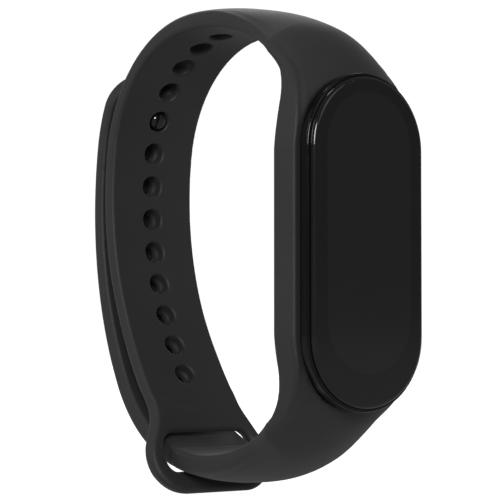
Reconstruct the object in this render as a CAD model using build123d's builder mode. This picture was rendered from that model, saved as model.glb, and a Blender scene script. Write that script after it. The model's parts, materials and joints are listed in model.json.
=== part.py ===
from build123d import *
import math
import os

# Fitness tracker band, closed round the wrist. All sizes in millimetres.
#
# Frame: X runs along the wrist, +Z is up, -Y is the side of the display. The origin lies on
# the axis of the wrist opening, level with the middle of the capsule. A depth is measured
# from the front rim of the case towards the wrist.

# ---------------------------------------------------------------- driving dimensions
FRONT_Y = -28.4  # front rim of the case
CAPSULE_LENGTH = 46.5  # case, front rim
CAPSULE_WIDTH = 20.7
WAIST_STEP = 0.7  # the case inside the ring is this much smaller all round
RIM_DEPTH = 1.84  # the rim stands in front of the ring
WAIST_DEPTH = 7.0  # end of the straight sides
BACK_DEPTH = 10.6  # back face of the case
BACK_TAPER = 35.0  # degrees, towards the back face
WALL = 0.8
FLOOR = 1.0

GLASS_FRONT = -0.7
GLASS_BACK = 0.5
GLASS_MARGIN = 0.5  # rim of the case that shows round the glass
LEDGE_DEPTH = 0.65  # the glass is glued to a ledge at this depth
DISPLAY_LENGTH = 38.8
DISPLAY_WIDTH = 15.1
DISPLAY_SHIFT = 1.36  # the display sits above the middle
DISPLAY_BACK = 1.35

STRAP_THICK = 2.6
STRAP_WIDTH = 15.0
RING_WIDTH = 22.4  # strap beside the capsule
RING_BACK = 6.5  # depth of the wrist side of the ring
FIT_GAP = 0.1  # between the ring and the case
LAYER_GAP = 0.2  # between the two layers of strap

HOLE_COUNT = 13
HOLE_PITCH = 5.12
FIRST_HOLE = 52.5  # along the upper strap from the middle of the ring
HOLE_DIAMETER = 3.4
STUD_HOLE = 4  # the stud is in the fifth hole

LOOP_WIDTH = 21.6
LOOP_BOTTOM = -36.1
SLOT_WIDTH = 16.2
SLOT_TOP = -27.3
SLOT_BOTTOM = -33.1

STUD_HEAD = 3.1
STUD_DOME = 1.25  # rounding of the head's end, nearly a full dome
STUD_NECK = 2.2
CAP_DIAMETER = 6.0
CAP_THICK = 0.9
PEEL_LEVER = 16.0  # from the stud down to the line where the tip bends
PEEL_LEVEL = 1.4  # of that line, outside the wrist side of the upper strap
JOINT_TURN = 0.1  # degrees of arc left open on each side of the bend

BRACKET_FRONT = 1.55
BRACKET_BACK = 2.25
BOARD_FRONT = 6.6
BOARD_BACK = 7.2
SENSOR_FACE = 11.35
BOSS_X = 6.6
BOSS_Z = 16.5
MOTOR_DEPTH = 4.4
MOTOR_Z = 16.8
CONTACT_X = 2.1
CONTACT_Z = -15.2

# Side view of the strap: tangent arcs as (radius, turn in degrees), left turns positive.
# A turn of 0 is a straight run of that length. Both straps are followed on their wrist
# side from the middle of the ring, the upper one upwards and the lower one downwards.
RING_START = (FRONT_Y + RING_BACK, 0.0)
UPPER_ARCS = [(21.6, 0), (6.0, -60), (39.0, -36), (19.6, -75), (45.0, -35), (60.0, -10.5)]
LOOP_ARCS = [(4.0, 0), (12.0, 22), (8.4, 0)]
LOWER_ARCS = [(19.71, 0), (5.8, 57), (36.0, 33), (21.0, 62), (56.0, 37)]
TIP_ARC = (22.4, 31)


# ---------------------------------------------------------------- helpers
def depth_plane(depth):
    """Front view plane at a depth; extruding by a negative amount goes towards the wrist."""
    return Plane.XZ.offset(-(FRONT_Y + depth))


def left_of(heading):
    """Unit vector to the left of a heading given in degrees."""
    angle = math.radians(heading)
    return -math.sin(angle), math.cos(angle)


def step_along(point, heading, radius, turn):
    """End point and heading of one arc, or of a straight run where the turn is 0."""
    angle = math.radians(heading)
    if turn == 0:
        return (point[0] + radius * math.cos(angle), point[1] + radius * math.sin(angle)), heading
    reach = math.copysign(radius, turn)
    before, after = left_of(heading), left_of(heading + turn)
    end = (point[0] + reach * (before[0] - after[0]), point[1] + reach * (before[1] - after[1]))
    return end, heading + turn


def chain_end(start, heading, arcs):
    """End point and heading of a chain of tangent arcs."""
    point = start
    for radius, turn in arcs:
        point, heading = step_along(point, heading, radius, turn)
    return point, heading


def point_on(start, heading, arcs, length):
    """Point and heading at a length along a chain of tangent arcs."""
    point = start
    for radius, turn in arcs:
        run = math.radians(abs(turn)) * radius if turn else radius
        if length <= run:
            return step_along(point, heading, radius if turn else length, turn * length / run)
        point, heading = step_along(point, heading, radius, turn)
        length -= run
    return point, heading


def draw_chain(start, heading, arcs, side=0.0):
    """Draws the chain in the open BuildLine, moved to its left by side; returns both ends."""
    left = left_of(heading)
    first = (start[0] + side * left[0], start[1] + side * left[1])
    point = first
    for radius, turn in arcs:
        angle = math.radians(heading)
        if turn == 0:
            following, after = step_along(point, heading, radius, 0)
            Line(point, following)
        else:
            local = radius - math.copysign(side, turn * side)
            following, after = step_along(point, heading, local, turn)
            JernArc(point, (math.cos(angle), math.sin(angle)), local, turn)
        point, heading = following, after
    return first, point


def strap_profile(start, heading, arcs, side):
    """Closed side view of an evenly thick strap in the open BuildSketch."""
    with BuildLine() as edge:
        inner_first, inner_last = draw_chain(start, heading, arcs)
        outer_first, outer_last = draw_chain(start, heading, arcs, side)
        Line(inner_first, outer_first)
        Line(inner_last, outer_last)
    make_face(edge.edges())


def pill(length, width):
    """Upright pill in the open BuildSketch."""
    SlotOverall(length, width, rotation=90)


def hole_plane(index):
    """Plane on the wrist side of the upper strap at a hole; its normal points outwards."""
    point, heading = point_on(RING_START, 90, UPPER_ARCS, FIRST_HOLE + index * HOLE_PITCH)
    left = left_of(heading)
    return Plane(origin=(0, *point), x_dir=(1, 0, 0), z_dir=(0, *left))


# ---------------------------------------------------------------- strap layout
UPPER_END, UPPER_END_HEADING = chain_end(RING_START, 90, UPPER_ARCS)
STUD_PLANE = hole_plane(STUD_HOLE)  # its local Y runs down the strap

# The tip of the lower strap bends about a line just outside it. The line is square to the
# stud and level with the middle of the upper strap, so the stud leaves its hole straight.
PEEL_PIVOT = STUD_PLANE.from_local_coords(Vector(0, PEEL_LEVER, PEEL_LEVEL))
FOLD_RADIUS, FOLD_TURN = LOWER_ARCS[-1]
FOLD_START, FOLD_HEADING = chain_end(RING_START, -90, LOWER_ARCS[:-1])
FOLD_LEFT = left_of(FOLD_HEADING)
FOLD_CENTRE = (FOLD_START[0] + FOLD_RADIUS * FOLD_LEFT[0], FOLD_START[1] + FOLD_RADIUS * FOLD_LEFT[1])
BEND_ANGLE = math.degrees(math.atan2(PEEL_PIVOT.Z - FOLD_CENTRE[1], PEEL_PIVOT.Y - FOLD_CENTRE[0]))
BEND_TURN = BEND_ANGLE + 90 - FOLD_HEADING

STUB_ARCS = LOWER_ARCS[:-1] + [(FOLD_RADIUS, BEND_TURN - JOINT_TURN)]
TIP_START, TIP_HEADING = step_along(FOLD_START, FOLD_HEADING, FOLD_RADIUS, BEND_TURN + JOINT_TURN)
TIP_ARCS = [(FOLD_RADIUS, FOLD_TURN - BEND_TURN - JOINT_TURN), TIP_ARC]


# ---------------------------------------------------------------- silicone strap
def front_outline():
    """Front view of both straps: full width beside the capsule, narrower above and below."""
    half = RING_WIDTH / 2
    neck = half - 2.2
    with BuildLine() as edge:
        Polyline((0, 45), (0, 0), (half, 0), (half, 12.5))
        Spline((half, 12.5), (half - 1.0, 20.5), (neck, 25.5), tangents=[(0, 1), (0, 1)])
        Polyline((neck, 25.5), (neck, 45), (0, 45))
    make_face(edge.edges())
    mirror(about=Plane.YZ)
    mirror(about=Plane.XZ)


def plan_outline():
    """Plan view of both straps: they narrow to the strap width behind the ring."""
    half = RING_WIDTH / 2
    ring_y = FRONT_Y + RING_BACK
    narrow_y = FRONT_Y + 24.0
    with BuildLine() as edge:
        Polyline((0, narrow_y), (0, FRONT_Y), (half, FRONT_Y), (half, ring_y))
        Spline(
            (half, ring_y),
            (STRAP_WIDTH / 2 + 1.4, ring_y + 4.5),
            (STRAP_WIDTH / 2, narrow_y),
            tangents=[(-1, 1), (0, 1)],
        )
        Polyline((STRAP_WIDTH / 2, narrow_y), (0, narrow_y))
    make_face(edge.edges())
    with Locations((STRAP_WIDTH / 4, narrow_y)):
        Rectangle(STRAP_WIDTH / 2, 40, align=(Align.CENTER, Align.MIN))
    mirror(about=Plane.YZ)


def loop_outline():
    """Front view of the loop: a neck that widens to a broad end with round corners."""
    half = LOOP_WIDTH / 2
    corner = 5.5
    neck_top, neck_bottom = -18.0, -26.5
    with BuildLine() as edge:
        Polyline((0, LOOP_BOTTOM), (0, -10), (STRAP_WIDTH / 2, -10), (STRAP_WIDTH / 2, neck_top))
        Spline((STRAP_WIDTH / 2, neck_top), (half, neck_bottom), tangents=[(0, -1), (0, -1)])
        Line((half, neck_bottom), (half, LOOP_BOTTOM + corner))
        JernArc((half, LOOP_BOTTOM + corner), (0, -1), corner, -90)
        Line((half - corner, LOOP_BOTTOM), (0, LOOP_BOTTOM))
    make_face(edge.edges())
    mirror(about=Plane.YZ)


with BuildPart() as both_straps:
    with BuildSketch(Plane.YZ):
        strap_profile(RING_START, 90, UPPER_ARCS, STRAP_THICK)
        strap_profile(RING_START, -90, STUB_ARCS, -STRAP_THICK)
    extrude(amount=RING_WIDTH / 2, both=True)
    with BuildSketch(Plane.XY):
        plan_outline()
    extrude(amount=50, both=True, mode=Mode.INTERSECT)
    with BuildSketch(Plane.XZ):
        front_outline()
    extrude(amount=50, both=True, mode=Mode.INTERSECT)
    for index in range(HOLE_COUNT):
        with BuildSketch(hole_plane(index).offset(-LAYER_GAP / 2)):
            Circle(HOLE_DIAMETER / 2)
        extrude(amount=STRAP_THICK + LAYER_GAP, mode=Mode.SUBTRACT)

with BuildPart() as loop:
    with BuildSketch(Plane.YZ):
        strap_profile(UPPER_END, UPPER_END_HEADING, LOOP_ARCS, STRAP_THICK)
    extrude(amount=LOOP_WIDTH / 2, both=True)
    with BuildSketch(Plane.XZ):
        loop_outline()
    extrude(amount=50, both=True, mode=Mode.INTERSECT)
    with BuildSketch(Plane.XZ):
        with Locations((0, (SLOT_TOP + SLOT_BOTTOM) / 2)):
            RectangleRounded(SLOT_WIDTH, SLOT_TOP - SLOT_BOTTOM, 2.2)
    extrude(amount=50, both=True, mode=Mode.SUBTRACT)

with BuildPart() as silicone_strap:
    with BuildSketch(depth_plane(RIM_DEPTH + FIT_GAP)):
        pill(CAPSULE_LENGTH + RING_WIDTH - CAPSULE_WIDTH, RING_WIDTH)
    extrude(amount=RIM_DEPTH + FIT_GAP - RING_BACK)
    add(both_straps.part)
    add(loop.part)
    with BuildSketch(depth_plane(0)):
        opening_step = 2 * (WAIST_STEP - FIT_GAP)
        pill(CAPSULE_LENGTH - opening_step, CAPSULE_WIDTH - opening_step)
    extrude(amount=-WAIST_DEPTH - 1, mode=Mode.SUBTRACT)

# ---------------------------------------------------------------- strap tip and stud
CAP_LEVEL = 2 * STRAP_THICK + LAYER_GAP - CAP_THICK
TIP_REACH = 6.4  # of the tip beyond the stud

with BuildPart() as strap_tip:
    with BuildSketch(Plane.YZ):
        with BuildLine():
            inner_first, inner_last = draw_chain(TIP_START, TIP_HEADING, TIP_ARCS)
            thinning = [TIP_ARCS[0], (TIP_ARC[0], TIP_ARC[1] - 11)]
            outer_first, outer_last = draw_chain(TIP_START, TIP_HEADING, thinning, -STRAP_THICK)
            outer_heading = TIP_HEADING + thinning[0][1] + thinning[1][1]
            outward = left_of(TIP_HEADING + TIP_ARCS[0][1] + TIP_ARC[1])
            nose = (inner_last[0] - 0.6 * outward[0], inner_last[1] - 0.6 * outward[1])
            slope = math.radians(outer_heading)
            Line(inner_first, outer_first)
            TangentArc(outer_last, nose, tangent=(math.cos(slope), math.sin(slope)))
            Line(nose, inner_last)
        make_face()
    extrude(amount=STRAP_WIDTH / 2, both=True)
    with BuildSketch(STUD_PLANE):
        with Locations((0, -TIP_REACH)):
            RectangleRounded(STRAP_WIDTH, 60, 5.5, align=(Align.CENTER, Align.MIN))
    extrude(amount=20, both=True, mode=Mode.INTERSECT)
    with BuildSketch(STUD_PLANE):
        Circle(STUD_NECK / 2)
    extrude(amount=10, mode=Mode.SUBTRACT)
    with BuildSketch(STUD_PLANE.offset(CAP_LEVEL)):
        Circle(CAP_DIAMETER / 2)
    extrude(amount=2, mode=Mode.SUBTRACT)

with BuildPart() as clasp_stud:
    with BuildSketch(STUD_PLANE.offset(-0.35)):
        Circle(STUD_HEAD / 2)
    extrude(amount=1.65)
    stud_axis = Axis(STUD_PLANE.origin, STUD_PLANE.z_dir)
    fillet(clasp_stud.edges().filter_by(GeomType.CIRCLE).sort_by(stud_axis)[0], STUD_DOME)
    with BuildSketch(STUD_PLANE.offset(1.3)):
        Circle(STUD_NECK / 2)
    extrude(amount=CAP_LEVEL - 1.3)
    with BuildSketch(STUD_PLANE.offset(CAP_LEVEL)):
        Circle(0.7)
    extrude(amount=0.5)

with BuildPart() as stud_cap:
    with BuildSketch(STUD_PLANE.offset(CAP_LEVEL)):
        Circle(CAP_DIAMETER / 2)
    extrude(amount=CAP_THICK)
    with BuildSketch(STUD_PLANE.offset(CAP_LEVEL)):
        Circle(0.7)
    extrude(amount=0.5, mode=Mode.SUBTRACT)

# ---------------------------------------------------------------- capsule case and glass
GLASS_LENGTH = CAPSULE_LENGTH - 2 * GLASS_MARGIN
GLASS_WIDTH = CAPSULE_WIDTH - 2 * GLASS_MARGIN
WAIST_LENGTH = CAPSULE_LENGTH - 2 * WAIST_STEP
WAIST_WIDTH = CAPSULE_WIDTH - 2 * WAIST_STEP
CAVITY_LENGTH = WAIST_LENGTH - 2 * WALL
CAVITY_WIDTH = WAIST_WIDTH - 2 * WALL
SCREW_SPOTS = [(x, z) for x in (-BOSS_X, BOSS_X) for z in (-BOSS_Z, BOSS_Z)]
CONTACT_SPOTS = [(-CONTACT_X, CONTACT_Z), (CONTACT_X, CONTACT_Z)]
WINDOW_HOLE = 9.6
CONTACT_HEAD = 2.3
BOSS_DIAMETER = 2.2
SCREW_DIAMETER = 1.0
SCREW_LENGTH = 3.2  # below the bracket
FLOOR_DEPTH = BACK_DEPTH - FLOOR

with BuildPart() as case_body:
    with BuildSketch(depth_plane(0)):
        pill(CAPSULE_LENGTH, CAPSULE_WIDTH)
    extrude(amount=-RIM_DEPTH)
    fillet(case_body.edges().group_by(Axis.Y)[0], 0.3)
    fillet(case_body.edges().group_by(Axis.Y)[-1], 0.4)
    with BuildSketch(depth_plane(0.5)):
        pill(WAIST_LENGTH, WAIST_WIDTH)
    extrude(amount=0.5 - WAIST_DEPTH)
    with BuildSketch(depth_plane(WAIST_DEPTH)):
        pill(WAIST_LENGTH, WAIST_WIDTH)
    extrude(amount=WAIST_DEPTH - BACK_DEPTH, taper=BACK_TAPER)
    fillet(case_body.edges().group_by(Axis.Y)[-1], 1.2)

with BuildPart() as capsule_case:
    add(case_body.part)
    with BuildSketch(depth_plane(0)):
        pill(CAVITY_LENGTH, CAVITY_WIDTH)
    extrude(amount=-WAIST_DEPTH, mode=Mode.SUBTRACT)
    with BuildSketch(depth_plane(WAIST_DEPTH)):
        pill(CAVITY_LENGTH, CAVITY_WIDTH)
    extrude(amount=WAIST_DEPTH - FLOOR_DEPTH, taper=BACK_TAPER, mode=Mode.SUBTRACT)
    with BuildSketch(depth_plane(BRACKET_BACK)):
        with Locations(*SCREW_SPOTS):
            Circle(BOSS_DIAMETER / 2)
    extrude(amount=BRACKET_BACK - FLOOR_DEPTH)
    add(case_body.part, mode=Mode.INTERSECT)
    with BuildSketch(depth_plane(BRACKET_BACK)):
        with Locations(*SCREW_SPOTS):
            Circle(SCREW_DIAMETER / 2)
    extrude(amount=-SCREW_LENGTH, mode=Mode.SUBTRACT)
    with BuildSketch(depth_plane(0)):
        pill(GLASS_LENGTH + 0.1, GLASS_WIDTH + 0.1)
    extrude(amount=-LEDGE_DEPTH, mode=Mode.SUBTRACT)
    with BuildSketch(depth_plane(FLOOR_DEPTH - 0.5)):
        Circle(WINDOW_HOLE / 2)
        with Locations(*CONTACT_SPOTS):
            Circle(CONTACT_HEAD / 2)
    extrude(amount=-3.0, mode=Mode.SUBTRACT)

with BuildPart() as cover_glass:
    with BuildSketch(depth_plane(GLASS_FRONT)):
        pill(GLASS_LENGTH, GLASS_WIDTH)
    extrude(amount=GLASS_FRONT - GLASS_BACK)
    fillet(cover_glass.edges().group_by(Axis.Y)[0], 0.65)

with BuildPart() as glass_adhesive:
    with BuildSketch(depth_plane(GLASS_BACK)):
        pill(GLASS_LENGTH - 0.2, GLASS_WIDTH - 0.2)
        SlotOverall(CAVITY_LENGTH + 0.2, CAVITY_WIDTH + 0.2, rotation=90, mode=Mode.SUBTRACT)
    extrude(amount=GLASS_BACK - LEDGE_DEPTH)

# ---------------------------------------------------------------- display
with BuildPart() as optical_adhesive:
    with BuildSketch(depth_plane(GLASS_BACK)):
        with Locations((0, DISPLAY_SHIFT)):
            pill(DISPLAY_LENGTH, DISPLAY_WIDTH)
    extrude(amount=GLASS_BACK - LEDGE_DEPTH)

with BuildPart() as display_panel:
    with BuildSketch(depth_plane(LEDGE_DEPTH)):
        with Locations((0, DISPLAY_SHIFT)):
            pill(DISPLAY_LENGTH, DISPLAY_WIDTH)
    extrude(amount=LEDGE_DEPTH - DISPLAY_BACK)

FLEX_WIDTH = 6.0
FLEX_THICK = 0.1
FLEX_TOP = DISPLAY_SHIFT - DISPLAY_LENGTH / 2 + 3.0  # where the flex is bonded to the display
CONNECTOR_HEIGHT = 0.75
CONNECTOR_Z = -15.5
FLEX_BEND = 0.7
FLEX_RUN = BOARD_FRONT - CONNECTOR_HEIGHT - DISPLAY_BACK - 2 * FLEX_THICK - 2 * FLEX_BEND
FLEX_ARCS = [(3.3, 0.0), (FLEX_BEND, 90.0), (FLEX_RUN, 0.0), (FLEX_BEND, 90.0), (3.6, 0.0)]

with BuildPart() as display_flex:
    with BuildSketch(Plane.YZ):
        strap_profile((FRONT_Y + DISPLAY_BACK + FLEX_THICK, FLEX_TOP), -90, FLEX_ARCS, -FLEX_THICK)
    extrude(amount=FLEX_WIDTH / 2, both=True)

with BuildPart() as display_connector:
    with BuildSketch(depth_plane(BOARD_FRONT - CONNECTOR_HEIGHT)):
        with Locations((0, CONNECTOR_Z)):
            Rectangle(FLEX_WIDTH, 2.2)
    extrude(amount=-CONNECTOR_HEIGHT)

# ---------------------------------------------------------------- bracket and screws
with BuildPart() as mid_bracket:
    with BuildSketch(depth_plane(BRACKET_FRONT)):
        pill(CAVITY_LENGTH - 0.3, CAVITY_WIDTH - 0.3)
        with Locations((0, -18.6)):
            Rectangle(FLEX_WIDTH + 1.0, 7.0, mode=Mode.SUBTRACT)
        with Locations(*SCREW_SPOTS):
            Circle(0.6, mode=Mode.SUBTRACT)
    extrude(amount=BRACKET_FRONT - BRACKET_BACK)
    with BuildSketch(depth_plane(BRACKET_FRONT)):
        with Locations(*SCREW_SPOTS):
            Circle(1.15)
    extrude(amount=-0.35, mode=Mode.SUBTRACT)

with BuildPart() as bracket_screws:
    with BuildSketch(depth_plane(BRACKET_FRONT)):
        with Locations(*SCREW_SPOTS):
            Circle(1.05)
    extrude(amount=-0.35)
    with BuildSketch(depth_plane(BRACKET_FRONT)):
        with Locations(*SCREW_SPOTS):
            Circle(SCREW_DIAMETER / 2)
    extrude(amount=BRACKET_FRONT - BRACKET_BACK - SCREW_LENGTH + 0.2)

# ---------------------------------------------------------------- battery
BATTERY_FRONT = 2.4
BATTERY_BACK = 6.3
BATTERY_Z = (-11.5, 12.9)

with BuildPart() as battery:
    with BuildSketch(depth_plane(BATTERY_FRONT)):
        with Locations((0, sum(BATTERY_Z) / 2)):
            RectangleRounded(13.2, BATTERY_Z[1] - BATTERY_Z[0], 1.2)
    extrude(amount=BATTERY_FRONT - BATTERY_BACK)
    fillet(battery.edges().group_by(Axis.Y)[0], 0.5)
    fillet(battery.edges().group_by(Axis.Y)[-1], 0.5)

with BuildPart() as battery_flex:
    with BuildSketch(Plane.YZ):
        strap_profile(
            (FRONT_Y + BATTERY_BACK - 1.2, BATTERY_Z[0]),
            -90,
            [(0.5, 0.0), (0.6, 90.0), (0.9 - FLEX_THICK, 0.0)],
            FLEX_THICK,
        )
    extrude(amount=2.0, both=True)

# ---------------------------------------------------------------- circuit board
with BuildPart() as main_board:
    with BuildSketch(depth_plane(BOARD_FRONT)):
        pill(CAVITY_LENGTH - 0.7, CAVITY_WIDTH - 0.7)
        with Locations(*SCREW_SPOTS):
            Circle(BOSS_DIAMETER / 2 + 0.2, mode=Mode.SUBTRACT)
    extrude(amount=BOARD_FRONT - BOARD_BACK)


def chip(width, height, thickness, x, z):
    """Block soldered to the back of the board."""
    with BuildPart() as block:
        with BuildSketch(depth_plane(BOARD_BACK)):
            with Locations((x, z)):
                Rectangle(width, height)
        extrude(amount=-thickness)
    return block


processor_chip = chip(5.2, 5.2, 0.8, -3.6, 9.6)
memory_chip = chip(4.0, 5.0, 0.8, 3.6, 9.4)
motion_sensor = chip(2.5, 2.5, 0.8, 0, 15.2)
shield_can = chip(10.4, 3.8, 1.3, 0, -7.8)

with BuildPart() as antenna:
    with BuildSketch(depth_plane(3.0)):
        with Locations((0, -(CAVITY_LENGTH - CAVITY_WIDTH) / 2)):
            Circle(CAVITY_WIDTH / 2 - 0.1)
            Circle(CAVITY_WIDTH / 2 - 0.3, mode=Mode.SUBTRACT)
        with Locations((0, -CAVITY_LENGTH / 2)):
            Rectangle(CAVITY_WIDTH, 5.2, mode=Mode.INTERSECT)
    extrude(amount=-3.0)

# ---------------------------------------------------------------- vibration motor
MOTOR_DIAMETER = 3.6
MOTOR_CASE = (-4.6, 1.4)
MOTOR_BUSH_END = 1.8
SHAFT = (-3.0, 4.4)
WEIGHT = (2.1, 4.4)
SHAFT_DIAMETER = 0.6


def motor_plane(x):
    """Plane across the motor's axis at x; its local axes are Y and Z."""
    return Plane.YZ.offset(x)


MOTOR_AXIS = (FRONT_Y + MOTOR_DEPTH, MOTOR_Z)


def motor_round(x_range, diameter, bore=0.0):
    """Turned piece on the motor's axis, in the open BuildPart."""
    with BuildSketch(motor_plane(x_range[0])) as section:
        with Locations(MOTOR_AXIS):
            Circle(diameter / 2)
            if bore:
                Circle(bore / 2, mode=Mode.SUBTRACT)
    extrude(section.sketch, amount=x_range[1] - x_range[0])


with BuildPart() as motor_case:
    motor_round(MOTOR_CASE, MOTOR_DIAMETER)
    fillet(motor_case.edges().sort_by(Axis.X)[0], 0.3)
    with BuildSketch(motor_plane(MOTOR_CASE[1])):
        with Locations(MOTOR_AXIS):
            Circle(MOTOR_DIAMETER / 2 - 0.25)
    extrude(amount=0.3 - (MOTOR_CASE[1] - MOTOR_CASE[0]), mode=Mode.SUBTRACT)

with BuildPart() as motor_bush:
    motor_round((MOTOR_CASE[1] - 0.6, MOTOR_BUSH_END), 1.5, SHAFT_DIAMETER + 0.06)
    motor_round((MOTOR_CASE[1] - 0.6, MOTOR_CASE[1]), MOTOR_DIAMETER - 0.5, SHAFT_DIAMETER + 0.06)

with BuildPart() as motor_shaft:
    motor_round(SHAFT, SHAFT_DIAMETER)

with BuildPart() as motor_weight:
    with BuildSketch(motor_plane(WEIGHT[0])):
        with Locations(MOTOR_AXIS):
            Circle(1.7)
            Rectangle(4, 4, align=(Align.CENTER, Align.MIN), mode=Mode.SUBTRACT)
            Circle(0.75)
            Circle(SHAFT_DIAMETER / 2, mode=Mode.SUBTRACT)
    extrude(amount=WEIGHT[1] - WEIGHT[0])

# ---------------------------------------------------------------- optical sensor
BARRIER_FACE = FLOOR_DEPTH + 0.1
BARRIER_DIAMETER = 8.8
LED_Z = 3.0
DIVIDER_Z = 1.9

with BuildPart() as sensor_barrier:
    with BuildSketch(depth_plane(BOARD_BACK)):
        Circle(BARRIER_DIAMETER / 2)
        Circle(BARRIER_DIAMETER / 2 - 0.5, mode=Mode.SUBTRACT)
        with Locations((0, -DIVIDER_Z), (0, DIVIDER_Z)):
            Rectangle(BARRIER_DIAMETER - 0.9, 0.4)
    extrude(amount=BOARD_BACK - BARRIER_FACE)

with BuildPart() as sensor_window:
    with BuildSketch(depth_plane(BARRIER_FACE)):
        Circle(WINDOW_HOLE / 2 - 0.05)
    extrude(amount=BARRIER_FACE - BACK_DEPTH)
    with BuildSketch(depth_plane(BACK_DEPTH)):
        Circle(WINDOW_HOLE / 2 + 0.8)
    extrude(amount=BACK_DEPTH - SENSOR_FACE)
    fillet(sensor_window.edges().group_by(Axis.Y)[-1], 0.6)

with BuildPart() as sensor_leds:
    with BuildSketch(depth_plane(BOARD_BACK)):
        with Locations((0, -LED_Z), (0, LED_Z)):
            Rectangle(1.6, 1.2)
    extrude(amount=-0.7)

with BuildPart() as photodiode:
    with BuildSketch(depth_plane(BOARD_BACK)):
        Rectangle(3.0, 2.4)
    extrude(amount=-0.7)

# ---------------------------------------------------------------- charging
CONTACT_SHANK = 1.2
SEAL_DEPTH = FLOOR_DEPTH - 0.6

with BuildPart() as charging_contacts:
    with BuildSketch(depth_plane(BOARD_BACK)):
        with Locations(*CONTACT_SPOTS):
            Circle(CONTACT_SHANK / 2)
    extrude(amount=BOARD_BACK - FLOOR_DEPTH)
    with BuildSketch(depth_plane(FLOOR_DEPTH)):
        with Locations(*CONTACT_SPOTS):
            Circle(CONTACT_HEAD / 2)
    extrude(amount=FLOOR_DEPTH - BACK_DEPTH - 0.05)

with BuildPart() as contact_seals:
    with BuildSketch(depth_plane(SEAL_DEPTH)):
        with Locations(*CONTACT_SPOTS):
            Circle(1.6)
            Circle(CONTACT_SHANK / 2, mode=Mode.SUBTRACT)
    extrude(amount=SEAL_DEPTH - FLOOR_DEPTH)

with BuildPart() as charging_magnets:
    with BuildSketch(depth_plane(FLOOR_DEPTH - 1.6)):
        with Locations((-4.9, -12.0), (4.9, -12.0)):
            Rectangle(2.4, 2.4)
    extrude(amount=-1.5)

# ---------------------------------------------------------------- export
PIECES = {
    "silicone_strap": silicone_strap,
    "strap_tip": strap_tip,
    "clasp_stud": clasp_stud,
    "stud_cap": stud_cap,
    "capsule_case": capsule_case,
    "cover_glass": cover_glass,
    "glass_adhesive": glass_adhesive,
    "optical_adhesive": optical_adhesive,
    "display_panel": display_panel,
    "display_flex": display_flex,
    "display_connector": display_connector,
    "mid_bracket": mid_bracket,
    "bracket_screws": bracket_screws,
    "battery": battery,
    "battery_flex": battery_flex,
    "main_board": main_board,
    "processor_chip": processor_chip,
    "memory_chip": memory_chip,
    "motion_sensor": motion_sensor,
    "shield_can": shield_can,
    "antenna": antenna,
    "motor_case": motor_case,
    "motor_bush": motor_bush,
    "motor_shaft": motor_shaft,
    "motor_weight": motor_weight,
    "sensor_barrier": sensor_barrier,
    "sensor_window": sensor_window,
    "sensor_leds": sensor_leds,
    "photodiode": photodiode,
    "charging_contacts": charging_contacts,
    "contact_seals": contact_seals,
    "charging_magnets": charging_magnets,
}

os.makedirs("parts", exist_ok=True)
for label, piece in PIECES.items():
    piece.part.label = label
    export_step(piece.part, f"parts/{label}.step")

print("bend line of the strap tip:", PEEL_PIVOT)
print("stud on the wrist side:", STUD_PLANE.origin, "outwards:", STUD_PLANE.z_dir)
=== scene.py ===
import json
import math

import bpy
import numpy as np
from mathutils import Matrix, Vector


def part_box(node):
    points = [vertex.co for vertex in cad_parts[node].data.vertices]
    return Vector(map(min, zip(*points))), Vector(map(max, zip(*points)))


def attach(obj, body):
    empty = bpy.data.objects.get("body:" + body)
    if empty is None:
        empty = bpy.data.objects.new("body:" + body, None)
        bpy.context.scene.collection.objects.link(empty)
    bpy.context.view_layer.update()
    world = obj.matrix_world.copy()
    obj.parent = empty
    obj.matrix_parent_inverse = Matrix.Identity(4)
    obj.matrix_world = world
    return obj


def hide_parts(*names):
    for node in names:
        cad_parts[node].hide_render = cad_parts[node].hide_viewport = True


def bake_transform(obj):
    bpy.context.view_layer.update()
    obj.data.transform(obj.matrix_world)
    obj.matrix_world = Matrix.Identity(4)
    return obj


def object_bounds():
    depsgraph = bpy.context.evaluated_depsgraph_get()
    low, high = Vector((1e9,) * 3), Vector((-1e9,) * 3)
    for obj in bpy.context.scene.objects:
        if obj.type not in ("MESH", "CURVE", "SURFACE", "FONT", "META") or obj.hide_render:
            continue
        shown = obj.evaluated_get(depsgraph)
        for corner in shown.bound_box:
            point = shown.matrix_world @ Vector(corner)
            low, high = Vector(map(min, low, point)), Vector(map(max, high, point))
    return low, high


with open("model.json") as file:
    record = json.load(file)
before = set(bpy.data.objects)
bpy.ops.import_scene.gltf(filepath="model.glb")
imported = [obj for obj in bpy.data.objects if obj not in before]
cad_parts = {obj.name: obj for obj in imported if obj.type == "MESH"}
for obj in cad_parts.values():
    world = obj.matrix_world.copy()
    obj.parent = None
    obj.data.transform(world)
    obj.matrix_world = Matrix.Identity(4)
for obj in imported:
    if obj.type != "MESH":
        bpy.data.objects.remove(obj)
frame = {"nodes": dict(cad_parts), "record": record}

# Fitness tracker band. The silicone is meshed here from one distance function for each
# moulding; the capsule and the stud are the CAD's own nodes with better materials.
# Shapes are worked out in millimetres, in the CAD's frame, and scaled by MM at the end.

CAD_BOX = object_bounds()
MM = 0.001


def millimetres(node):
    """Lowest and highest corner of a CAD node, in millimetres."""
    low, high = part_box(node)
    return np.array(low) / MM, np.array(high) / MM


FRONT = millimetres("capsule_case")[0][1]  # front rim of the case
STRAP_LOW, STRAP_HIGH = millimetres("silicone_strap")
TIP_LOW, TIP_HIGH = millimetres("strap_tip")

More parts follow.
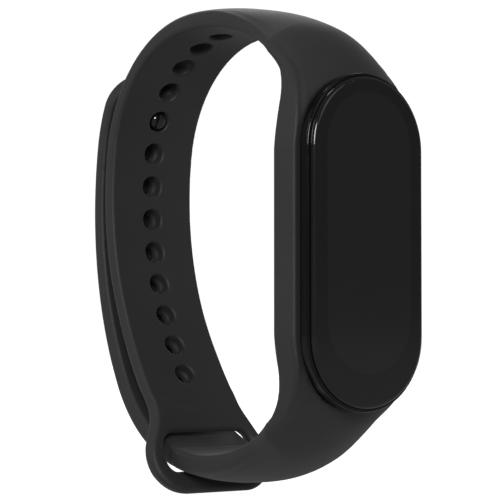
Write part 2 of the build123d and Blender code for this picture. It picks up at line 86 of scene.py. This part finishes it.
# ---------------------------------------------------------------- side view of the straps
# Both straps start at the middle of the ring's wrist side and run over tangent arcs, each
# (radius, turn in degrees). Left turns are positive, and a turn of 0 is a straight run.
RING_BACK = FRONT + 6.5
RING_FRONT = FRONT + 1.94
UPPER_ARCS = [(19.4, 0), (8.0, -44), (14.0, -16), (35.2, -36), (19.6, -75), (45.0, -35), (60.0, -10.5)]
LOOP_ARCS = [(4.0, 0), (12.0, 15), (9.2, 0)]
LOWER_ARCS = [(16.8, 0), (8.6, 42), (14.5, 15), (31.6, 33), (21.0, 62), (56.0, 37)]
TIP_ARC = (22.4, 31)

# ---------------------------------------------------------------- width and thickness
HALF_WIDTH = 7.5
RING_HALF = STRAP_HIGH[0]  # half the width beside the capsule
RING_DEPTH = RING_BACK - RING_FRONT
PILL_STRAIGHT = 12.9  # half the straight length of the capsule and of its opening
OPENING_RADIUS = 9.75
OPENING_PAST = 1.5  # the cut for the capsule goes this far past the ring's wrist side
OPENING_EDGE = 0.35
NECK_ABOVE, NECK_BELOW = 1.6, 1.3  # wider than the strap where the shoulders end, seen from the front
SHOULDER_START, SHOULDER_RUN, SHOULDER_POWER = 12.5, 11.5, 1.4  # the front view's shoulder curve
SIDE_WIDER, SIDE_RUN, SIDE_POWER = 3.7, 17.5, 3.3  # the same seen from above, from the ring back
STRAP_START = -1.0  # both straps start just past the middle of the ring, inside each other

LAYER = 2.6  # thickness where two layers lie on each other
LAYER_GAP = 0.2
CROWN = 3.25  # thickness in the middle where the strap is free
EDGE = 2.4  # thickness near the edges
SHOULDER_EDGE = 1.3  # the same above and below the capsule
INNER_ROUNDING = 0.45  # of the edges on the wrist side
OUTER_ROUNDING, LEAST_ROUNDING, MOST_ROUNDING = 0.4, 0.3, 0.6  # a share of the edge's thickness
SOFTER = 0.35  # added to the rounding of the outer edges away from the capsule
GROOVE = 0.15  # depth of the fine line along the outer edges
GROOVE_INSET, GROOVE_WIDTH = 0.9, 0.45

# Lengths along a strap from the middle of the ring, between which its section changes
RING_ENDS = (15.5, 27.0)
CROWN_STARTS = (24.0, 42.0)
EDGE_STARTS = (30.0, 46.0)
GROOVE_ENDS = (34.0, 50.0)
SOFT_STARTS = (36.0, 50.0)
LAYER_STARTS = (50.0, 63.0)
LAYER_EDGE = 0.1  # fuller edges of the upper strap where it is layered

# The lower strap is fuller than the upper one as far as the slot, and then thins out
LOWER_EDGE, LOWER_STARTS = 0.35, (18.0, 28.0)
LOWER_MIDDLE, LOWER_MIDDLE_STARTS = 0.8, (20.0, 32.0)
HUMP, HUMP_ENDS = 0.5, (32.0, 50.0)
TAIL_THICKER, TAIL_THINS = 0.7, (64.0, 102.0)
TAIL_STARTS = (46.0, 62.0)
TAIL_EDGE = 0.2  # thinner at the edges than in the middle

# ---------------------------------------------------------------- holes, loop, slot and tail
HOLE_COUNT = 13
HOLE_PITCH = 5.12
FIRST_HOLE = 51.74  # puts the fifth hole on the stud
STUD_HOLE = 4
HOLE_RADIUS, HOLE_NECK = 1.66, 1.2  # on the wrist side and on the outside
HOLE_NARROWS = (1.2, 2.0)  # heights above the wrist side
HOLE_REACH = 5.0
HOLE_ROUNDING = 0.28

LOOP_HALF = 11.0
LOOP_BOTTOM = STRAP_LOW[2]
LOOP_CORNER, LOOP_ROUNDING = 5.6, 0.95
DEEP_INSIDE = -50.0  # distance that leaves the front half out of the loop's outline
SLOT_WIDTH, SLOT_BOTTOM, SLOT_TOP = 16.2, -32.95, -27.3
SLOT_MIDDLE = (SLOT_BOTTOM + SLOT_TOP) / 2
SLOT_CORNER, SLOT_ROUNDING = 2.2, 1.1
FLARE_START, FLARE_END = 23.0, 31.5  # below the axis the strap widens into the loop
SWELL, SWELL_START, SWELL_END = 0.3, 8.0, 22.0  # and slightly so above that
PLATE_STEP, PLATE_EDGE, PLATE_RISE = 0.1, -23.8, 2.4  # low curved step above the loop
PLATE_SOFT = 0.3

TAIL_TIP = 0.3  # past the end of the lower strap's arcs
TAIL_END = 7.0  # length that thins out to the tip
TIP_EDGE, TIP_MIDDLE = 1.1, 1.2  # thickness at the tip
TIP_CORNER, TAIL_ROUNDING = 6.3, 0.95
SEAT_RADIUS, SEAT_DEPTH, SEAT_EDGE = 3.08, 0.9, 0.2  # for the disc on the stud
SHANK_RADIUS = 1.12  # of the hole in the tail for the stud
SHANK_LOW, SHANK_HIGH = 1.0, 7.0  # heights above the upper strap's wrist side


# ---------------------------------------------------------------- chains of arcs
def left_of(heading):
    return np.array([-math.sin(heading), math.cos(heading)])


PAST_ENDS = 30.0  # the first and last run go on this far for points beyond them


class Chain:
    """Tangent arcs in the YZ plane; tells any point its length along them and its height."""

    def __init__(self, start, heading, arcs):
        self.parts = []
        point, heading, total = np.array(start, float), math.radians(heading), 0.0
        for radius, turn in arcs:
            turn = math.radians(turn)
            length = radius * abs(turn) if turn else radius
            self.parts.append((point, heading, radius, turn, total, length))
            point, heading = self.end_of(point, heading, radius, turn)
            total += length
        self.length = total

    @staticmethod
    def end_of(point, heading, radius, turn):
        if turn == 0:
            return point + radius * np.array([math.cos(heading), math.sin(heading)]), heading
        reach = math.copysign(radius, turn)
        return point + reach * (left_of(heading) - left_of(heading + turn)), heading + turn

    def at(self, length):
        """Point and heading at a length along the chain."""
        for point, heading, radius, turn, before, run in self.parts:
            if length <= before + run:
                break
        share = (length - before) / run
        if turn == 0:
            return self.end_of(point, heading, length - before, 0)
        return self.end_of(point, heading, radius, turn * share)

    def locate(self, y, z):
        """Length along the chain and height to its left, for arrays of points."""
        nearest = np.full(y.shape, np.inf)
        along, height = np.zeros(y.shape), np.zeros(y.shape)
        for index, (point, heading, radius, turn, before, run) in enumerate(self.parts):
            low = -PAST_ENDS if index == 0 else 0.0
            high = run + (PAST_ENDS if index == len(self.parts) - 1 else 0.0)
            left = left_of(heading)
            dy, dz = y - point[0], z - point[1]
            if turn == 0:
                reach = dy * left[1] - dz * left[0]
                up = dy * left[0] + dz * left[1]
                held = np.clip(reach, low, high)
                away = np.hypot(reach - held, up)
            else:
                side = math.copysign(1.0, turn)
                cy, cz = dy - side * radius * left[0], dz - side * radius * left[1]
                far = np.hypot(cy, cz)
                start_angle = math.atan2(-side * left[1], -side * left[0])
                angle = side * (np.arctan2(cz, cy) - start_angle)
                angle = (angle + math.pi) % (2 * math.pi) - math.pi
                reach = angle * radius
                up = side * (radius - far)
                held = np.clip(reach, low, high)
                away = np.hypot((reach - held) * far / radius, up)
            closer = away < nearest
            nearest = np.where(closer, away, nearest)
            along = np.where(closer, before + held, along)
            height = np.where(closer, up, height)
        return along, height


UPPER = Chain((RING_BACK, 0.0), 90, UPPER_ARCS + LOOP_ARCS)
LOWER = Chain((RING_BACK, 0.0), -90, LOWER_ARCS + [TIP_ARC])


# ---------------------------------------------------------------- distance functions
# Each is negative inside the shape, and tells about how far a point is from its surface.
def ease(value, start, end):
    """0 before start, 1 after end, smooth between them."""
    t = np.clip((value - start) / (end - start), 0, 1)
    return t * t * (3 - 2 * t)


def both(a, b, radius):
    """Distance inside both shapes, with a round edge."""
    u, v = np.maximum(radius + a, 0), np.maximum(radius + b, 0)
    return np.minimum(-radius, np.maximum(a, b)) + np.hypot(u, v)


def pill(x, z, radius):
    return np.hypot(x, np.maximum(np.abs(z) - PILL_STRAIGHT, 0)) - radius


def strap_half(y, z):
    """Half the width of both straps at a point: full beside the capsule, then narrower."""
    neck = HALF_WIDTH + np.where(z > 0, NECK_ABOVE, NECK_BELOW)
    rise = np.clip((np.abs(z) - SHOULDER_START) / SHOULDER_RUN, 0, 1)
    front_view = neck + (RING_HALF - neck) * (1 - rise ** SHOULDER_POWER)
    depth = np.clip((y - RING_BACK) / SIDE_RUN, 0, 1)
    top_view = HALF_WIDTH + SIDE_WIDER * (1 - depth) ** SIDE_POWER
    return np.minimum(front_view, top_view)


def outside(along):
    """Thickness of a strap in the middle and at its edges: full beside the capsule, thin
    edges at the shoulders, and a gentle crown further on."""
    middle = CROWN + (RING_DEPTH - CROWN) * (1 - ease(along, *CROWN_STARTS))
    edge = EDGE - (EDGE - SHOULDER_EDGE) * (1 - ease(along, *EDGE_STARTS))
    return middle, edge + (RING_DEPTH - SHOULDER_EDGE) * (1 - ease(along, *RING_ENDS))


def crowned(x, half, middle, edge):
    """Height of the outside across the strap, from the middle to the edges."""
    return middle - (middle - edge) * np.clip(x / half, 0, 1) ** 2


def strap_body(x, along, height, half, middle, edge):
    """Strap with a flat wrist side at height 0 and a crowned outside, with a fine groove
    along its edges that fades out away from the capsule."""
    line = np.exp(-((half - x - GROOVE_INSET) / GROOVE_WIDTH) ** 2)
    top = crowned(x, half, middle, edge) - GROOVE * (1 - ease(along, *GROOVE_ENDS)) * line
    rounding = np.clip(OUTER_ROUNDING * edge, LEAST_ROUNDING, MOST_ROUNDING)
    rounding = rounding + SOFTER * ease(along, *SOFT_STARTS)
    section = both(x - half, height - top, rounding)
    return both(section, -height, INNER_ROUNDING)


def hole_frame(y, z, index):
    """Height above the wrist side and distance along the strap from the centre of a hole."""
    point, heading = UPPER.at(FIRST_HOLE + index * HOLE_PITCH)
    left = left_of(heading)
    height = (y - point[0]) * left[0] + (z - point[1]) * left[1]
    across = (y - point[0]) * left[1] - (z - point[1]) * left[0]
    return height, across


def strap_hole(x, y, z, index):
    """A hole that is wider on the wrist side, where the stud's head sits."""
    height, across = hole_frame(y, z, index)
    radius = HOLE_RADIUS - (HOLE_RADIUS - HOLE_NECK) * ease(height, *HOLE_NARROWS)
    return np.maximum(np.hypot(x, across) - radius, np.abs(height) - HOLE_REACH)


def upper_strap(x, y, z):
    """The upper strap with its holes, as far as the loop, and the loop with its slot."""
    along, height = UPPER.locate(y, z)
    behind = y > 0
    middle, edge = outside(along)
    layered = ease(along, *LAYER_STARTS)
    middle = middle + (LAYER - CROWN) * layered
    edge = edge + LAYER_EDGE * layered
    flare = (LOOP_HALF - HALF_WIDTH - SWELL) * ease(-z, FLARE_START, FLARE_END)
    half = strap_half(y, z) + (SWELL * ease(-z, SWELL_START, SWELL_END) + flare) * behind
    plate_edge = PLATE_EDGE + PLATE_RISE * (x / HALF_WIDTH) ** 2
    step = PLATE_STEP * (ease(plate_edge - z, -PLATE_SOFT, PLATE_SOFT) * behind)
    body = strap_body(x, along, height + step, half, middle + step, edge)
    body = np.maximum(body, STRAP_START - along)
    bottom = both(x - LOOP_HALF, LOOP_BOTTOM - z, LOOP_CORNER)
    body = both(body, np.where(behind, bottom, DEEP_INSIDE), LOOP_ROUNDING)
    for index in range(HOLE_COUNT):
        body = both(body, -strap_hole(x, y, z, index), HOLE_ROUNDING)
    slot_height = np.abs(z - SLOT_MIDDLE) - (SLOT_TOP - SLOT_BOTTOM) / 2
    slot = both(x - SLOT_WIDTH / 2, slot_height, SLOT_CORNER)
    slot = np.maximum(slot, -y)
    return both(body, -slot, SLOT_ROUNDING)


def lower_outside(along):
    """Thickness of the lower strap in the middle and at its edges."""
    middle, edge = outside(along)
    hump = ease(along, *LOWER_STARTS) * (1 - ease(along, *HUMP_ENDS))
    middle = middle + LOWER_MIDDLE * ease(along, *LOWER_MIDDLE_STARTS) + HUMP * hump
    edge = edge + LOWER_EDGE * ease(along, *LOWER_STARTS)
    tail = LAYER + TAIL_THICKER * (1 - ease(along, *TAIL_THINS))
    behind = ease(along, *TAIL_STARTS)
    return middle + (tail - middle) * behind, edge + (tail - TAIL_EDGE - edge) * behind


def lower_strap(x, y, z):
    along, height = LOWER.locate(y, z)
    body = strap_body(x, along, -height, strap_half(y, z), *lower_outside(along))
    return np.maximum(body, STRAP_START - along), along


# The lower strap passes through the slot at CUT, measured along its wrist side. The moulding
# ends inside the tail there, and each dips under the other's surface by the seam.
SLOT_Y = 6.6
CUT = float(LOWER.locate(np.array([SLOT_Y]), np.array([SLOT_MIDDLE]))[0][0])
SEAM = 0.12
SEAM_HALF = 0.6
OVERLAP = 2.0


def past_cut(along):
    return ease(along, CUT - SEAM_HALF, CUT + SEAM_HALF)


def silicone_distance(x, y, z):
    """The one-piece moulding: ring, upper strap, loop, and lower strap as far as the slot."""
    x = np.abs(x)
    upper = upper_strap(x, y, z)
    lower, along = lower_strap(x, y, z)
    lower = np.maximum(lower + SEAM * past_cut(along), along - CUT - OVERLAP)
    body = np.minimum(upper, lower)
    opening = np.maximum(pill(x, z, OPENING_RADIUS), y - RING_BACK - OPENING_PAST)
    return both(body, -opening, OPENING_EDGE)


def stud_opening(x, y, z):
    """Seat of the stud's disc in the outside of the tail, and the hole through it."""
    level, across = hole_frame(y, z, STUD_HOLE)
    round_distance = np.hypot(x, across)
    seat_floor = 2 * LAYER + LAYER_GAP - SEAT_DEPTH
    seat = np.maximum(round_distance - SEAT_RADIUS, seat_floor - level)
    shank_middle, shank_half = (SHANK_LOW + SHANK_HIGH) / 2, (SHANK_HIGH - SHANK_LOW) / 2
    shank = np.maximum(round_distance - SHANK_RADIUS, np.abs(level - shank_middle) - shank_half)
    return np.minimum(seat, shank)


def tail_distance(x, y, z):
    """The lower strap from the slot up to its thin round tip."""
    x = np.abs(x)
    along, height = LOWER.locate(y, z)
    height = -height
    tip = LOWER.length + TAIL_TIP
    thinning = np.clip((along - (tip - TAIL_END)) / TAIL_END, 0, 1)
    fullness = np.sqrt(np.maximum(1 - thinning**2, 0))
    middle, edge = lower_outside(along)
    edge = TIP_EDGE + (edge - TIP_EDGE) * fullness
    middle = TIP_MIDDLE + (middle - TIP_MIDDLE) * fullness
    plan = both(x - HALF_WIDTH, along - tip, TIP_CORNER)
    body = both(plan, height - crowned(x, HALF_WIDTH, middle, edge), TAIL_ROUNDING)
    body = both(body, -height, INNER_ROUNDING)
    body = np.maximum(body + SEAM * (1 - past_cut(along)), CUT - OVERLAP - along)
    return both(body, -stud_opening(x, y, z), SEAT_EDGE)


# ---------------------------------------------------------------- meshing
SLOPE_STEP = 0.02
LEAST_SLOPE = 0.05  # squared, so that flat spots don't throw a point far
MOVE_LIMIT = 0.3  # of a point, in one step towards the surface
PULL = 0.6  # how far a point moves towards the mean of its neighbours
PASSES = 3  # of the moves towards the surface, and of the evening out


def gradient(distance, points):
    """Slope of the distance function at each point."""
    parts = []
    for axis in range(3):
        shift = np.zeros(3)
        shift[axis] = SLOPE_STEP
        ahead, behind = points + shift, points - shift
        parts.append((distance(*ahead.T) - distance(*behind.T)) / (2 * SLOPE_STEP))
    return np.stack(parts, 1)


def onto_surface(distance, points):
    """Moves points along the gradient until they lie on the surface."""
    for _ in range(PASSES):
        slope = gradient(distance, points)
        square = np.maximum((slope**2).sum(1), LEAST_SLOPE)
        step = np.clip(distance(*points.T) / square, -MOVE_LIMIT, MOVE_LIMIT)
        points = points - slope * step[:, None]
    return points


def sample(distance, low, high, cell):
    """Distances on a grid that is mirror-symmetric in x, and the grid's first point."""
    half_count = int(math.ceil(max(abs(low[0]), high[0]) / cell)) + 1
    xs = (np.arange(half_count) + 0.5) * cell
    ys = np.arange(low[1], high[1] + cell, cell)
    zs = np.arange(low[2], high[2] + cell, cell)
    field = distance(*np.meshgrid(xs, ys, zs, indexing="ij"))
    return np.concatenate([field[::-1], field]), np.array([-xs[-1], ys[0], zs[0]])


def edge_ends(axis, others):
    """Windows on the grid at the start and at the end of its edges along one axis."""
    start, end = [others] * 3, [others] * 3
    start[axis], end[axis] = slice(0, -1), slice(1, None)
    return tuple(start), tuple(end)


def cell_points(field, inside):
    """A point in each cell that the surface crosses, the mean of the crossings on the cell's
    edges, in cells from the grid's first point; and each cell's point number."""
    cells = tuple(n - 1 for n in field.shape)
    total, count = np.zeros(cells + (3,)), np.zeros(cells)
    for axis in range(3):
        start, end = edge_ends(axis, slice(None))
        a, b = field[start], field[end]
        crossed = inside[start] != inside[end]
        share = np.where(crossed, a / np.where(crossed, a - b, 1), 0)
        first, second = [other for other in range(3) if other != axis]
        for i, j in ((0, 0), (0, 1), (1, 0), (1, 1)):
            window = [slice(None)] * 3
            window[first] = slice(i, i + cells[first])
            window[second] = slice(j, j + cells[second])
            window = tuple(window)
            hit = crossed[window]
            total[..., axis] += np.where(hit, share[window], 0)
            total[..., first] += hit * i
            total[..., second] += hit * j
            count += hit
    active = count > 0
    number = np.full(cells, -1)
    number[active] = np.arange(active.sum())
    return np.argwhere(active) + total[active] / count[active][:, None], number


def cell_faces(inside, number):
    """A quad round each edge of the grid that the surface crosses, facing outwards."""
    faces = []
    for axis in range(3):
        start, end = edge_ends(axis, slice(1, -1))
        where = np.argwhere(inside[start] != inside[end])
        going_out = inside[start][tuple(where.T)]
        first, second = [other for other in range(3) if other != axis]
        quad = []
        for i, j in ((0, 0), (1, 0), (1, 1), (0, 1)):
            index = where.copy()
            index[:, first] += i
            index[:, second] += j
            quad.append(number[tuple(index.T)])
        quad = np.stack(quad, 1)
        flip = going_out if axis == 1 else ~going_out
        quad[flip] = quad[flip][:, ::-1]
        faces.append(quad)
    return np.concatenate(faces)


def evened(distance, points, faces):
    """Puts the points on the surface and evens out their spacing."""
    points = onto_surface(distance, points)
    edges = np.concatenate([faces[:, [side, (side + 1) % 4]] for side in range(4)])
    for _ in range(PASSES):
        total, count = np.zeros_like(points), np.zeros(len(points))
        for a, b in ((0, 1), (1, 0)):
            np.add.at(total, edges[:, a], points[edges[:, b]])
            np.add.at(count, edges[:, a], 1)
        points = onto_surface(distance, (1 - PULL) * points + PULL * total / count[:, None])
    return points


def surface_mesh(name, distance, low, high, cell):
    """Even quad mesh of the surface where distance is 0."""
    field, origin = sample(distance, low, high, cell)
    inside = field < 0
    points, number = cell_points(field, inside)
    faces = cell_faces(inside, number)
    points = evened(distance, origin + points * cell, faces)
    mesh = bpy.data.meshes.new(name)
    mesh.from_pydata((points * MM).tolist(), [], faces.tolist())
    mesh.validate()
    mesh.shade_smooth()
    piece = bpy.data.objects.new(name, mesh)
    bpy.context.scene.collection.objects.link(piece)
    return piece


CELL = 0.32
MARGIN = 1.5
TAIL_START = 6.0  # the tail's grid starts this far in front of the slot

silicone = surface_mesh(
    "silicone_moulding", silicone_distance, STRAP_LOW - MARGIN, STRAP_HIGH + MARGIN, CELL
)
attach(silicone, "root")
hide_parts("silicone_strap")

tail_low = np.array([TIP_LOW[0] - MARGIN, SLOT_Y - TAIL_START, LOOP_BOTTOM - MARGIN])
tail = surface_mesh("strap_tail", tail_distance, tail_low, TIP_HIGH + MARGIN, CELL)

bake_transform(tail)
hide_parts("strap_tip")


# ---------------------------------------------------------------- materials
DISPLAY_TONE = (0.0090, 0.0090, 0.0093, 1)
BORDER_TONE = (0.0058, 0.0058, 0.0061, 1)
BORDER_INSIDE, BORDER_OUTSIDE = 0.00025, 0.00010  # of the display's outline, where the tone changes


def new_material(name):
    material = bpy.data.materials.new(name)
    material.use_nodes = True
    return material, material.node_tree.nodes, material.node_tree.links


def noise(nodes, links, coordinates, scale, detail=3.0, roughness=0.55):
    node = nodes.new("ShaderNodeTexNoise")
    node.inputs["Scale"].default_value = scale
    node.inputs["Detail"].default_value = detail
    node.inputs["Roughness"].default_value = roughness
    links.new(coordinates, node.inputs["Vector"])
    return node.outputs["Fac"]


def spread(nodes, links, value, low, high):
    """Maps the middle of a noise to the range low to high."""
    node = nodes.new("ShaderNodeMapRange")
    limits = {"From Min": 0.3, "From Max": 0.7, "To Min": low, "To Max": high}
    for socket, limit in limits.items():
        node.inputs[socket].default_value = limit
    links.new(value, node.inputs["Value"])
    return node.outputs["Result"]


def surface(name, colour, roughness, metallic=0.0, variation=0.15, patch=400.0, grain=6000.0,
            bump=0.02, spot=0.06, coat=0.0, sheen=0.0, specular=0.5):
    """Procedural material: patchy colour, uneven roughness and a fine grain in the surface."""
    material, nodes, links = new_material(name)
    shader = nodes["Principled BSDF"]
    where = nodes.new("ShaderNodeTexCoord").outputs["Object"]
    patches = noise(nodes, links, where, patch)
    fine = noise(nodes, links, where, grain, 2.0)
    mix = nodes.new("ShaderNodeMix")
    mix.data_type = "RGBA"
    mix.inputs["A"].default_value = (*[c * (1 - variation) for c in colour], 1)
    mix.inputs["B"].default_value = (*[min(1.0, c * (1 + variation)) for c in colour], 1)
    links.new(spread(nodes, links, patches, 0.0, 1.0), mix.inputs["Factor"])
    links.new(mix.outputs["Result"], shader.inputs["Base Color"])
    uneven = spread(nodes, links, fine, roughness - spot, roughness + spot)
    links.new(uneven, shader.inputs["Roughness"])
    settings = {"Metallic": metallic, "Coat Weight": coat, "Coat Roughness": 0.05,
                "Sheen Weight": sheen, "Sheen Roughness": 0.5, "Specular IOR Level": specular}
    for socket, setting in settings.items():
        shader.inputs[socket].default_value = setting
    if bump:
        relief = nodes.new("ShaderNodeBump")
        relief.inputs["Strength"].default_value = 0.5
        relief.inputs["Distance"].default_value = bump * MM
        links.new(fine, relief.inputs["Height"])
        links.new(relief.outputs["Normal"], shader.inputs["Normal"])
    return material


def math_node(nodes, links, operation, first, second=None):
    """Output of a maths node whose inputs are numbers or other nodes' outputs."""
    node = nodes.new("ShaderNodeMath")
    node.operation = operation
    for socket, value in zip(node.inputs, (first, second)):
        if value is None:
            continue
        if isinstance(value, (int, float)):
            socket.default_value = value
        else:
            links.new(value, socket)
    return node.outputs[0]


def cover_glass_material():
    """Black glass whose printed border is a little darker than the display behind it."""
    material, nodes, links = new_material("cover_glass")
    shader = nodes["Principled BSDF"]
    where = nodes.new("ShaderNodeTexCoord").outputs["Object"]
    split = nodes.new("ShaderNodeSeparateXYZ")
    links.new(where, split.inputs[0])
    low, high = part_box("display_panel")
    middle, radius = (low.z + high.z) / 2, high.x
    straight = (high.z - low.z) / 2 - radius
    rise = math_node(nodes, links, "SUBTRACT", split.outputs["Z"], middle)
    rise = math_node(nodes, links, "ABSOLUTE", rise)
    rise = math_node(nodes, links, "SUBTRACT", rise, straight)
    rise = math_node(nodes, links, "MAXIMUM", rise, 0.0)
    squares = [math_node(nodes, links, "POWER", side, 2.0) for side in (rise, split.outputs["X"])]
    reach = math_node(nodes, links, "SQRT", math_node(nodes, links, "ADD", *squares))
    border = nodes.new("ShaderNodeMapRange")
    border.interpolation_type = "SMOOTHSTEP"
    border.inputs["From Min"].default_value = radius - BORDER_INSIDE
    border.inputs["From Max"].default_value = radius + BORDER_OUTSIDE
    links.new(reach, border.inputs["Value"])
    haze = noise(nodes, links, where, 120.0)
    mix = nodes.new("ShaderNodeMix")
    mix.data_type = "RGBA"
    mix.inputs["A"].default_value = DISPLAY_TONE
    mix.inputs["B"].default_value = BORDER_TONE
    links.new(border.outputs["Result"], mix.inputs["Factor"])
    links.new(mix.outputs["Result"], shader.inputs["Base Color"])
    links.new(spread(nodes, links, haze, 0.09, 0.13), shader.inputs["Roughness"])
    shader.inputs["Specular IOR Level"].default_value = 0.4
    return material


MATERIALS = {
    "silicone": surface("soft_silicone", (0.0145, 0.0145, 0.0149), 0.60, variation=0.10, patch=90.0,
                        grain=5200.0, bump=0.03, spot=0.05, sheen=0.08, specular=0.4),
    "stud_metal": surface("stud_black", (0.003, 0.003, 0.0033), 0.06, bump=0.0, spot=0.02),
    "case_plastic": surface("gloss_case", (0.002, 0.002, 0.0022), 0.13, bump=0.0, spot=0.02,
                            specular=0.25),
    "glass": cover_glass_material(),
    "display": surface("display_layer", (0.012, 0.012, 0.014), 0.25, patch=300.0, bump=0.0),
    "adhesive": surface("black_foam_tape", (0.01, 0.01, 0.01), 0.8, grain=9000.0, bump=0.03),
    "clear_adhesive": surface("clear_gel", (0.6, 0.6, 0.6), 0.2, bump=0.0),
    "flex": surface("polyimide", (0.42, 0.2, 0.05), 0.3, patch=900.0, grain=4000.0, bump=0.005),
    "bracket": surface("textured_bracket", (0.04, 0.04, 0.045), 0.55, grain=7000.0, bump=0.02),
    "steel": surface("bright_steel", (0.55, 0.55, 0.56), 0.3, metallic=1.0, grain=9000.0, bump=0.004),
    "cell": surface("pouch_foil", (0.55, 0.57, 0.6), 0.4, metallic=0.9, grain=2500.0, bump=0.03),
    "board": surface("solder_mask", (0.01, 0.09, 0.04), 0.35, patch=1500.0, bump=0.01),
    "chip": surface("moulded_package", (0.02, 0.02, 0.022), 0.5, grain=9000.0, bump=0.01),
    "shield": surface("tinned_sheet", (0.5, 0.5, 0.51), 0.35, metallic=1.0, grain=6000.0, bump=0.005),
    "copper": surface("plated_copper", (0.7, 0.4, 0.22), 0.3, metallic=1.0, bump=0.004),
    "gold": surface("gold_plate", (0.8, 0.58, 0.25), 0.22, metallic=1.0, bump=0.002),
    "tungsten": surface("sintered_tungsten", (0.25, 0.25, 0.27), 0.5, metallic=1.0, bump=0.02),
    "lens": surface("dark_lens", (0.006, 0.006, 0.008), 0.08, bump=0.0, spot=0.02, coat=0.5),
    "led": surface("clear_package", (0.5, 0.75, 0.45), 0.2, bump=0.0),
    "diode": surface("sensor_package", (0.03, 0.03, 0.08), 0.2, bump=0.0),
    "seal": surface("seal_rubber", (0.02, 0.02, 0.02), 0.7, grain=7000.0, bump=0.02),
    "magnet": surface("nickel_plate", (0.6, 0.58, 0.55), 0.2, metallic=1.0, bump=0.002),
}


def assign(piece, slot):
    """Replaces the piece's material by the one for a slot of the record."""
    piece.data.materials.clear()
    piece.data.materials.append(MATERIALS[slot])


for subpart in frame["record"]["subparts"]:
    assign(frame["nodes"][subpart["node"]], subpart["material_slot"])
for piece in (silicone, tail):
    assign(piece, "silicone")

# ---------------------------------------------------------------- stage, lights, camera
FLOOR_HALF = 3.0
FLOOR_DROP = 0.0004  # below the band
FLOOR_GREY = 0.6
FLOOR_SEEN, FLOOR_GLOW = 0.92, 0.37  # emission to the camera, and to the light that falls on the band
BACKDROP, ROOM = 1.05, 0.18  # the same for the world
WHITE = (1, 1, 1, 1)
CAMERA_PLACE = (-0.18893, -0.24661, -0.01171)
CAMERA_SIGHT = (0.6115, 0.7904, 0.0370)
CAMERA_LENS = 151.9


def to_camera(nodes, links, seen, otherwise, output):
    """Shows one shader to the camera and another one to all other rays."""
    path = nodes.new("ShaderNodeLightPath")
    choice = nodes.new("ShaderNodeMixShader")
    links.new(path.outputs["Is Camera Ray"], choice.inputs[0])
    links.new(otherwise.outputs[0], choice.inputs[1])
    links.new(seen.outputs[0], choice.inputs[2])
    links.new(choice.outputs[0], nodes[output].inputs["Surface"])


def pale_floor():
    """Plain matt floor under the band."""
    corners = [(x * FLOOR_HALF, y * FLOOR_HALF, 0) for x, y in ((-1, -1), (1, -1), (1, 1), (-1, 1))]
    mesh = bpy.data.meshes.new("floor")
    mesh.from_pydata(corners, [], [(0, 1, 2, 3)])
    material, nodes, links = new_material("pale_floor")
    shader = nodes["Principled BSDF"]
    shader.inputs["Base Color"].default_value = (FLOOR_GREY, FLOOR_GREY, FLOOR_GREY, 1)
    shader.inputs["Roughness"].default_value = 0.9
    shader.inputs["Specular IOR Level"].default_value = 0.0
    shader.inputs["Emission Color"].default_value = WHITE
    shader.inputs["Emission Strength"].default_value = FLOOR_SEEN
    glow = nodes.new("ShaderNodeEmission")
    glow.inputs["Strength"].default_value = FLOOR_GLOW
    to_camera(nodes, links, shader, glow, "Material Output")
    mesh.materials.append(material)
    piece = bpy.data.objects.new("floor", mesh)
    piece.location.z = CAD_BOX[0].z - FLOOR_DROP
    bpy.context.scene.collection.objects.link(piece)
    return piece


def studio():
    """World that is white to the camera, and a dimmer room for the light on the band."""
    world = bpy.data.worlds.new("studio")
    world.use_nodes = True
    nodes, links = world.node_tree.nodes, world.node_tree.links
    backdrop, room = nodes["Background"], nodes.new("ShaderNodeBackground")
    for background, strength in ((backdrop, BACKDROP), (room, ROOM)):
        background.inputs["Color"].default_value = WHITE
        background.inputs["Strength"].default_value = strength
    to_camera(nodes, links, backdrop, room, "World Output")
    return world


def softbox(name, place, width, height, power):
    """Rectangular light that faces the band."""
    light = bpy.data.lights.new(name, "AREA")
    light.shape = "RECTANGLE"
    light.size, light.size_y = width, height
    light.energy = power
    lamp = bpy.data.objects.new(name, light)
    lamp.location = place
    lamp.rotation_euler = (-Vector(place)).to_track_quat("-Z", "Y").to_euler()
    bpy.context.scene.collection.objects.link(lamp)


def photo_camera():
    """Camera at the photograph's place, with its direction and field of view."""
    data = bpy.data.cameras.new("camera")
    data.lens = CAMERA_LENS
    data.sensor_width = 36.0
    data.clip_start = 0.01
    camera = bpy.data.objects.new("camera", data)
    camera.location = CAMERA_PLACE
    camera.rotation_mode = "QUATERNION"
    camera.rotation_quaternion = Vector(CAMERA_SIGHT).to_track_quat("-Z", "Y")
    bpy.context.scene.collection.objects.link(camera)
    return camera


floor = pale_floor()
bpy.context.scene.world = studio()
bpy.context.scene.view_settings.view_transform = "Standard"

softbox("overhead", (-0.1, 0.35, 0.85), 0.16, 0.16, 0.5)
softbox("left_back", (-0.8, 0.45, 0.36), 0.4, 0.4, 1.6)
softbox("left_front", (-0.7, -0.75, 0.33), 0.4, 0.36, 8.3)
softbox("right_front", (0.15, -0.85, 0.5), 0.5, 0.5, 1.0)
softbox("back", (0.5, 0.8, 0.5), 0.5, 0.5, 2.5)

bpy.context.scene.camera = photo_camera()
